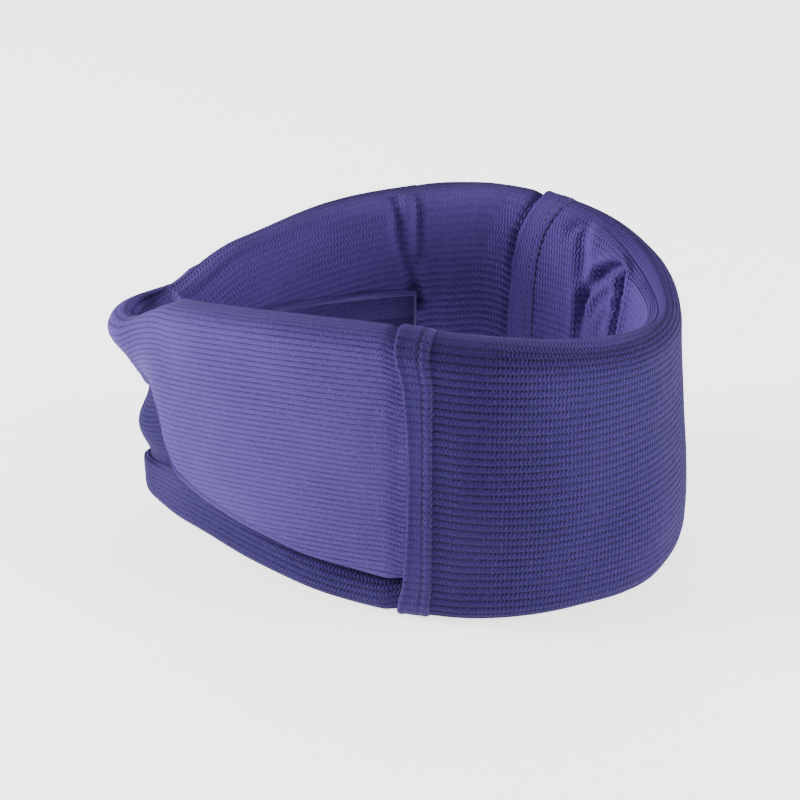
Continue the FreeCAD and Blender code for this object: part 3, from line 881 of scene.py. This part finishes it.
# height of the closing panel's lower edge at points along the right side, by x
lowKnots = [(12.0, 12.4), (6.3, 12.9), (-24.0, 15.5), (-45.0, 18.6), (-59.0, 21.8), (-67.5, 25.2),
            (-69.6, 28.0), (-71.8, 34.5), (-73.4, 41.0), (-75.2, 46.5), (-79.0, 48.5), (-85.0, 46.8)]
lowS = [sAtX(x, -1, egg["thick"]) for x, h in lowKnots][::-1]
lowZ = [h for x, h in lowKnots][::-1]


def panelLow(s):
    return float(np.interp(s, lowS, lowZ))


def armSection(s):
    # thinner where it goes inside the sleeve's mouth
    near = rightSide["mouthGap"] * float(smooth(rightMouth - 5, rightMouth + 1.5, s))
    tail = float(smooth(-186, tip + 6, s))
    sunk = rightSide["endSunk"] * float(smooth(-184, tip + 4, s))
    top = float(archAt(s)) - near - sunk
    layer = rightSide["innerThick"]
    seat = min(panelLow(max(s, sAtX(-68.0, -1, egg["thick"]))), 26.5) - 0.9
    seat = seat * (1 - tail) + rightSide["endSeat"] * tail
    tucked = float(smooth(rightMouth - 4, -186, s))
    out = egg["thick"] - near - rightSide["drawIn"] * tucked - 1.2 * tail
    low = near + rightSide["liftUp"] * tucked
    return ([(layer, top - rightSide["topDrop"]), (layer, seat + 0.4), (out, seat), (out, low), (near, low),
             (near, top - rightSide["topDrop"])], (3.6, 1.5, 6.5, 6.5, 6.0, 3.6), 3)


rightSide["around"] = longestRound(armSection, tip, rightMouth)
rightSide["pitch"] = rightSide["around"] / rightSide["ribs"]


def armShape(S, o, z, W):
    tail = smooth(-186, tip + 6, S)
    out = rightSide["endBulge"] * tail * bell(z, 31, 8.5) * smooth(4, 8, o)
    out = out + rightSide["uneven"] * ripple(42, S, W, 45, 60)
    out = out + 0.9 * smooth(6, 0, o) * (1 - (2 * z / archAt(S) - 1) ** 2) * bell(S, -150, 40)
    return out


def armHold(S, o, z):
    neckOrFoot = smooth(7.8, 6.5, o) + smooth(20, 8, z) * smooth(7.8, 9, o)
    return neckOrFoot * smooth(rightMouth - 3, rightMouth - 14, S)


def intoRightMouth(S, o, z):
    return rightSkew(o, z) * smooth(rightMouth - 20, rightMouth, S)


stations = np.concatenate([np.linspace(tip + 0.4, tip + 12, 16)[:-1],
                           np.linspace(tip + 12, rightMouth + rightSide["tuck"], 96)])
rightArm, core = knitTube("rightArm", rightSide, stations, armSection, armShape, armHold, intoRightMouth)
rightArm.data.materials.append(sleeveKnit)
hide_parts("right_arm_cover")


def bendRight(obj):
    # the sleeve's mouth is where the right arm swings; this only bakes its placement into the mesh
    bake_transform(obj)


bendRight(rightArm)
foamCore("rightArmFoam", core[8:-3], ["right_arm_foam"], bendRight)

# closing panel and tab, one long pad that folds round the back

wrap = {
    "outer": 6 * 52, "inner": 60, "fit": "hang", "seed": 51, "wander": 0.12,
    "pitch": 1.77, "depth": 0.17, "topFade": 0.4,
    "panelInner": 9.0, "tabInner": 11.2, "tabLow": 40.5, "tabDrop": 8.0,
    "tabEndAngle": 112.0,
    "lean": 4.4, "foldLean": 3.8,         # how far the top rolls over the inner layers
    "foldSunk": 9.4, "foldPinch": 6.5, "foldBrow": 5.5, "foldJut": 2.6,
    "swell": 1.1, "uneven": 0.35, "edgeDip": 0.25,
    "foldAxis": (-0.0800, 0.0110, 0.060),  # the fold's axis, in metres
}
tabEnd = -(2 * halfRound - sAtAngle(wrap["tabEndAngle"]))


def tabEdge(s):
    # the lower edge climbs from the panel to the tab round the fold
    return lowZ[0] + (wrap["tabLow"] - lowZ[0]) * smooth(tip - 4, tip - 20, s)


def wrapSection(s):
    into = float(smooth(rightMouth - 4, rightMouth + 1.5, s))
    onTab = float(smooth(tip - 11, tip - 23, s))
    atFold = float(smooth(-190, -207, s) * smooth(tip - 24, tip - 9, s))
    sunk = wrap["foldSunk"] * float(smooth(-188, tip, s) * smooth(tip - 36, tip - 20, s))
    top = float(archAt(s)) - 0.9 * into - max(wrap["tabDrop"] * onTab, sunk)
    low = (panelLow(s) if s > tip else float(tabEdge(s))) + 0.8 * into
    inner = wrap["panelInner"] + (wrap["tabInner"] - wrap["panelInner"]) * onTab + 0.3 * into
    overFold = float(smooth(-184, -204, s) * smooth(tip - 23, tip - 13, s))
    lean = (wrap["lean"] - 1.0 * into + wrap["foldLean"] * overFold) * (1 - onTab)
    out = egg["thick"] - 0.8 * into
    foot = out - wrap["foldPinch"] * atFold      # the fold is pinched in below and juts out above
    brow = out + 0.3 * atFold
    if onTab < 0.98:
        corners = [(brow, top), (brow, top - 12 + wrap["foldBrow"] * atFold), (foot, low),
                   (min(inner, foot - 1.6), low), (inner, top - 6.8 + 2 * onTab),
                   (inner - lean, top - 5.0 + 1.5 * onTab), (inner - lean, top)]
        return corners, (6.0 + 0.6 * atFold, 9.0, 2.6, 1.2, 1.0, 2.0, 3.6), 2
    corners = [(out, top), (out, top - 12), (out, low), (inner, low),
               (inner, top - 5), (inner, top - 4), (inner, top)]
    return corners, (3.4, 0.5, 3.0, 1.5, 0.4, 0.4, 2.0), 2


def wrapShape(S, o, z, W):
    low = np.where(S > tip, np.interp(S, lowS, lowZ), tabEdge(S))
    share = np.clip((z - low) / (archAt(S) - low), 0, 1)
    outside = smooth(11, 14, o)
    free = smooth(rightMouth, rightMouth - 14, S)
    out = outside * wrap["swell"] * (1 - (2 * share - 1) ** 2) * free
    out = out + outside * wrap["foldJut"] * bell(S, tip, 12) * bell(z, 66.0, 5.0)
    out = out + outside * wrap["uneven"] * ripple(52, S, W, 50, 45) * free
    return out - outside * wrap["edgeDip"] * bell(z - low, 3.6, 0.7)


def wrapHold(S, o, z):
    return smooth(11, 13.5, o) * smooth(rightMouth - 2, rightMouth - 14, S)


stations = np.concatenate([np.linspace(tabEnd, tip - 20, 60)[:-1],
                           np.linspace(tip - 20, tip + 42, 90)[:-1],
                           np.linspace(tip + 42, rightMouth + 5.0, 66)])
closingWrap, core = knitTube("closingWrap", wrap, stations, wrapSection, wrapShape, wrapHold, intoRightMouth)
closingWrap.data.materials.append(panelKnit)
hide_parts("closing_panel_cover", "closing_tab_cover")
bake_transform(closingWrap)
turnAt = int(np.argmin(np.abs(stations - tip))) // 2
foamCore("closingTabFoam", core[3:turnAt - 12], ["closing_tab_foam"],
         lambda obj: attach(obj, "closing_tab"))
foamCore("closingPanelFoam", core[turnAt + 12:-3], ["closing_panel_foam"],
         lambda obj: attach(obj, "right_arm"))

# left arm: full height at the sleeve, then only an inner tab above the notch

leftSide = {
    "outer": 6 * 42, "inner": 6 * 42, "fit": "hang", "seed": 61, "wander": 0.3,
    "pitch": 2.45, "depth": 0.34, "topFade": 0.5, "tuck": 6.0,
    "tabThick": 8.6, "tabLow": 58.3, "tabEndX": -70.5,
    "mouthGap": 0.9, "neckGap": 0.55,     # inside the sleeve's mouth
    "lift": 2.0, "endDrop": 5.5, "shelfDrop": 7.0, "drawIn": 6.6,
    "roll": 7.6, "footRoll": 6.5, "tabFootRoll": 2.6,
    "cutOver": 1.2,                       # length in which the full thickness ends at the notch
    "uneven": 0.4,
}
leftTabEnd = sAtX(leftSide["tabEndX"], 1)


def leftSection(s):
    into = float(smooth(leftMouth + 5, leftMouth - 1.5, s))
    gap, near = leftSide["mouthGap"] * into, leftSide["neckGap"] * into
    past = s - notch
    lift = leftSide["lift"] * float(smooth(118, 88, s))
    drop = leftSide["endDrop"] * float(smooth(leftTabEnd - 26, leftTabEnd, s))
    top = float(archAt(s)) - gap + lift - drop
    step = float(np.clip(past / leftSide["cutOver"], 0, 1))
    ease = float(smooth(-3.0, 0.0, past)) * (1 - step) * 0.9
    thick = egg["thick"] - gap
    layer = thick + (leftSide["tabThick"] - thick) * step - ease
    low = gap + ease + (leftSide["tabLow"] - ease) * step
    thinned = float(smooth(notch + 4, notch + 60, s))
    ends = float(smooth(leftTabEnd - 14, leftTabEnd, s))      # the roll thins out before the back fold
    brow = thick - 0.9 * float(smooth(-6, 6, past)) - leftSide["drawIn"] * thinned - 1.0 * ends
    shelf = float(archAt(s)) - leftSide["shelfDrop"] - gap - 20 * (1 - step) * (past < 0)
    roll = leftSide["roll"] - 3.0 * thinned
    outRoll = min(roll, leftSide["roll"] - 3.4 * float(smooth(notch - 34, notch - 1, s)))
    footRoll = leftSide["footRoll"] + (leftSide["tabFootRoll"] - leftSide["footRoll"]) * step
    return ([(brow, top), (brow, shelf), (layer, shelf - 0.8), (layer, low), (near, low), (near, top)],
            (outRoll, 1.6, 0.8, footRoll, footRoll, roll), 3)


# valleys down the neck side where the arm's full thickness ends: points past the notch and round the
# section from its top, and then depth and width
valleys = [
    ([(8.5, -4), (8, -14), (6.4, -23), (3.7, -30), (1.3, -37), (0.3, -41)], 2.3, 2.1),
    ([(0.5, -3), (1.2, -13), (0.8, -24)], 1.2, 1.8),
]


def leftShape(S, o, z, W):
    out = leftSide["uneven"] * ripple(62, S, W, 50, 50) * smooth(leftMouth, leftMouth + 10, S)
    for points, depth, width in valleys:
        dist, share = toLine(S, W, [(notch + past, w) for past, w in points])
        lips = 0.22 * depth * np.exp(-((dist - 2.2 * width) / width) ** 2)
        out = out - depth * (0.45 + 0.55 * share) * np.exp(-(dist / width) ** 2) * smooth(9, 4, o)
        out = out + lips * smooth(8, 4, o) * (S < notch + 8)
    return out


def leftHold(S, o, z):
    return smooth(leftMouth + 2, leftMouth + 12, S) * smooth(notch - 4, notch - 12, S)


def intoLeftMouth(S, o, z):
    return leftSkew(o, z) * smooth(leftMouth + 30, leftMouth, S)


armRows = 44
stations = np.concatenate([np.linspace(leftMouth - leftSide["tuck"], notch - 3, armRows)[:-1],
                           np.linspace(notch - 3, notch, 7)[:-1],
                           np.linspace(notch, notch + leftSide["cutOver"], 5)[:-1],
                           np.linspace(notch + leftSide["cutOver"], leftTabEnd, 66)])
leftArm, core = knitTube("leftArm", leftSide, stations, leftSection, leftShape, leftHold, intoLeftMouth)
leftArm.data.materials.append(sleeveKnit)
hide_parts("left_arm_cover", "left_tab_cover")


def bendLeft(obj):
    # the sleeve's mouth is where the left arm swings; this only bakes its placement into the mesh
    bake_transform(obj)


bendLeft(leftArm)
notchRow = armRows // 2      # the foam is split at the notch
foamCore("leftArmFoam", core[3:notchRow - 3], ["left_arm_foam"], bendLeft)
foamCore("leftTabFoam", core[notchRow + 8:-2], ["left_tab_foam"], bendLeft)

# CAD nodes that are shown as they are get their finishes
finishes = {"hook_patch": hookTape, "loop_patch": loopTape,
            "hook_patch_stitching": seamThread, "loop_patch_stitching": seamThread}
for o in [o for o in bpy.data.objects if o.type == "MESH" and "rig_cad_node" in o]:
    name = o["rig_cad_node"] if isinstance(o["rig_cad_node"], str) else o.name
    mat = finishes.get(name)
    if mat:
        for slot in o.material_slots:
            slot.material = mat
        if not o.material_slots:
            o.data.materials.append(mat)
print("finished the closure's tapes")

# floor, light and camera

studio = {
    "floorSize": 6.0, "floorTone": (0.93, 0.93, 0.93, 1), "floorGlow": 2.0, "surround": 0.46,
    "lights": (("keyLight", (-1.15, -0.16, 0.30), 0.5, 42),      # place, size and power
               ("fillLight", (1.15, -0.12, 0.20), 0.5, 31),
               ("topLight", (0.0, 0.5, 1.1), 0.6, 6)),
    "azimuth": 7.0, "elevation": 27.0, "distance": 0.700, "lens": 97.65, "aim": (0.0, 0.0, 0.0425),
}

bpy.ops.mesh.primitive_plane_add(size=studio["floorSize"], location=(0, 0, -0.0005))
floor = bpy.context.active_object
floor.name = "floor"
floorMat = bpy.data.materials.new("floorPaper")
floorMat.use_nodes = True
paper = floorMat.node_tree.nodes["Principled BSDF"].inputs
paper["Base Color"].default_value = studio["floorTone"]
paper["Roughness"].default_value = 0.9
paper["Emission Color"].default_value = (1, 1, 1, 1)
paper["Emission Strength"].default_value = studio["floorGlow"]
floor.data.materials.append(floorMat)

world = bpy.data.worlds.new("studio")
bpy.context.scene.world = world
world.use_nodes = True
world.node_tree.nodes["Background"].inputs["Color"].default_value = (1, 1, 1, 1)
world.node_tree.nodes["Background"].inputs["Strength"].default_value = studio["surround"]

for name, place, size, power in studio["lights"]:
    light = bpy.data.lights.new(name, "AREA")
    light.shape = "SQUARE"
    light.size = size
    light.energy = power
    lamp = bpy.data.objects.new(name, light)
    bpy.context.scene.collection.objects.link(lamp)
    lamp.location = place
    lamp.rotation_euler = (Vector((0, 0, 0.05)) - Vector(place)).to_track_quat("-Z", "Y").to_euler()

a, e = math.radians(studio["azimuth"]), math.radians(studio["elevation"])
back = Vector((math.sin(a) * math.cos(e), -math.cos(a) * math.cos(e), math.sin(e)))
camera = bpy.data.cameras.new("camera")
camera.lens = studio["lens"]
camera.sensor_width = 36
cameraObj = bpy.data.objects.new("camera", camera)
bpy.context.scene.collection.objects.link(cameraObj)
cameraObj.location = Vector(studio["aim"]) + back * studio["distance"]
cameraObj.rotation_euler = back.to_track_quat("Z", "Y").to_euler()
bpy.context.scene.camera = cameraObj
print("lit and framed")
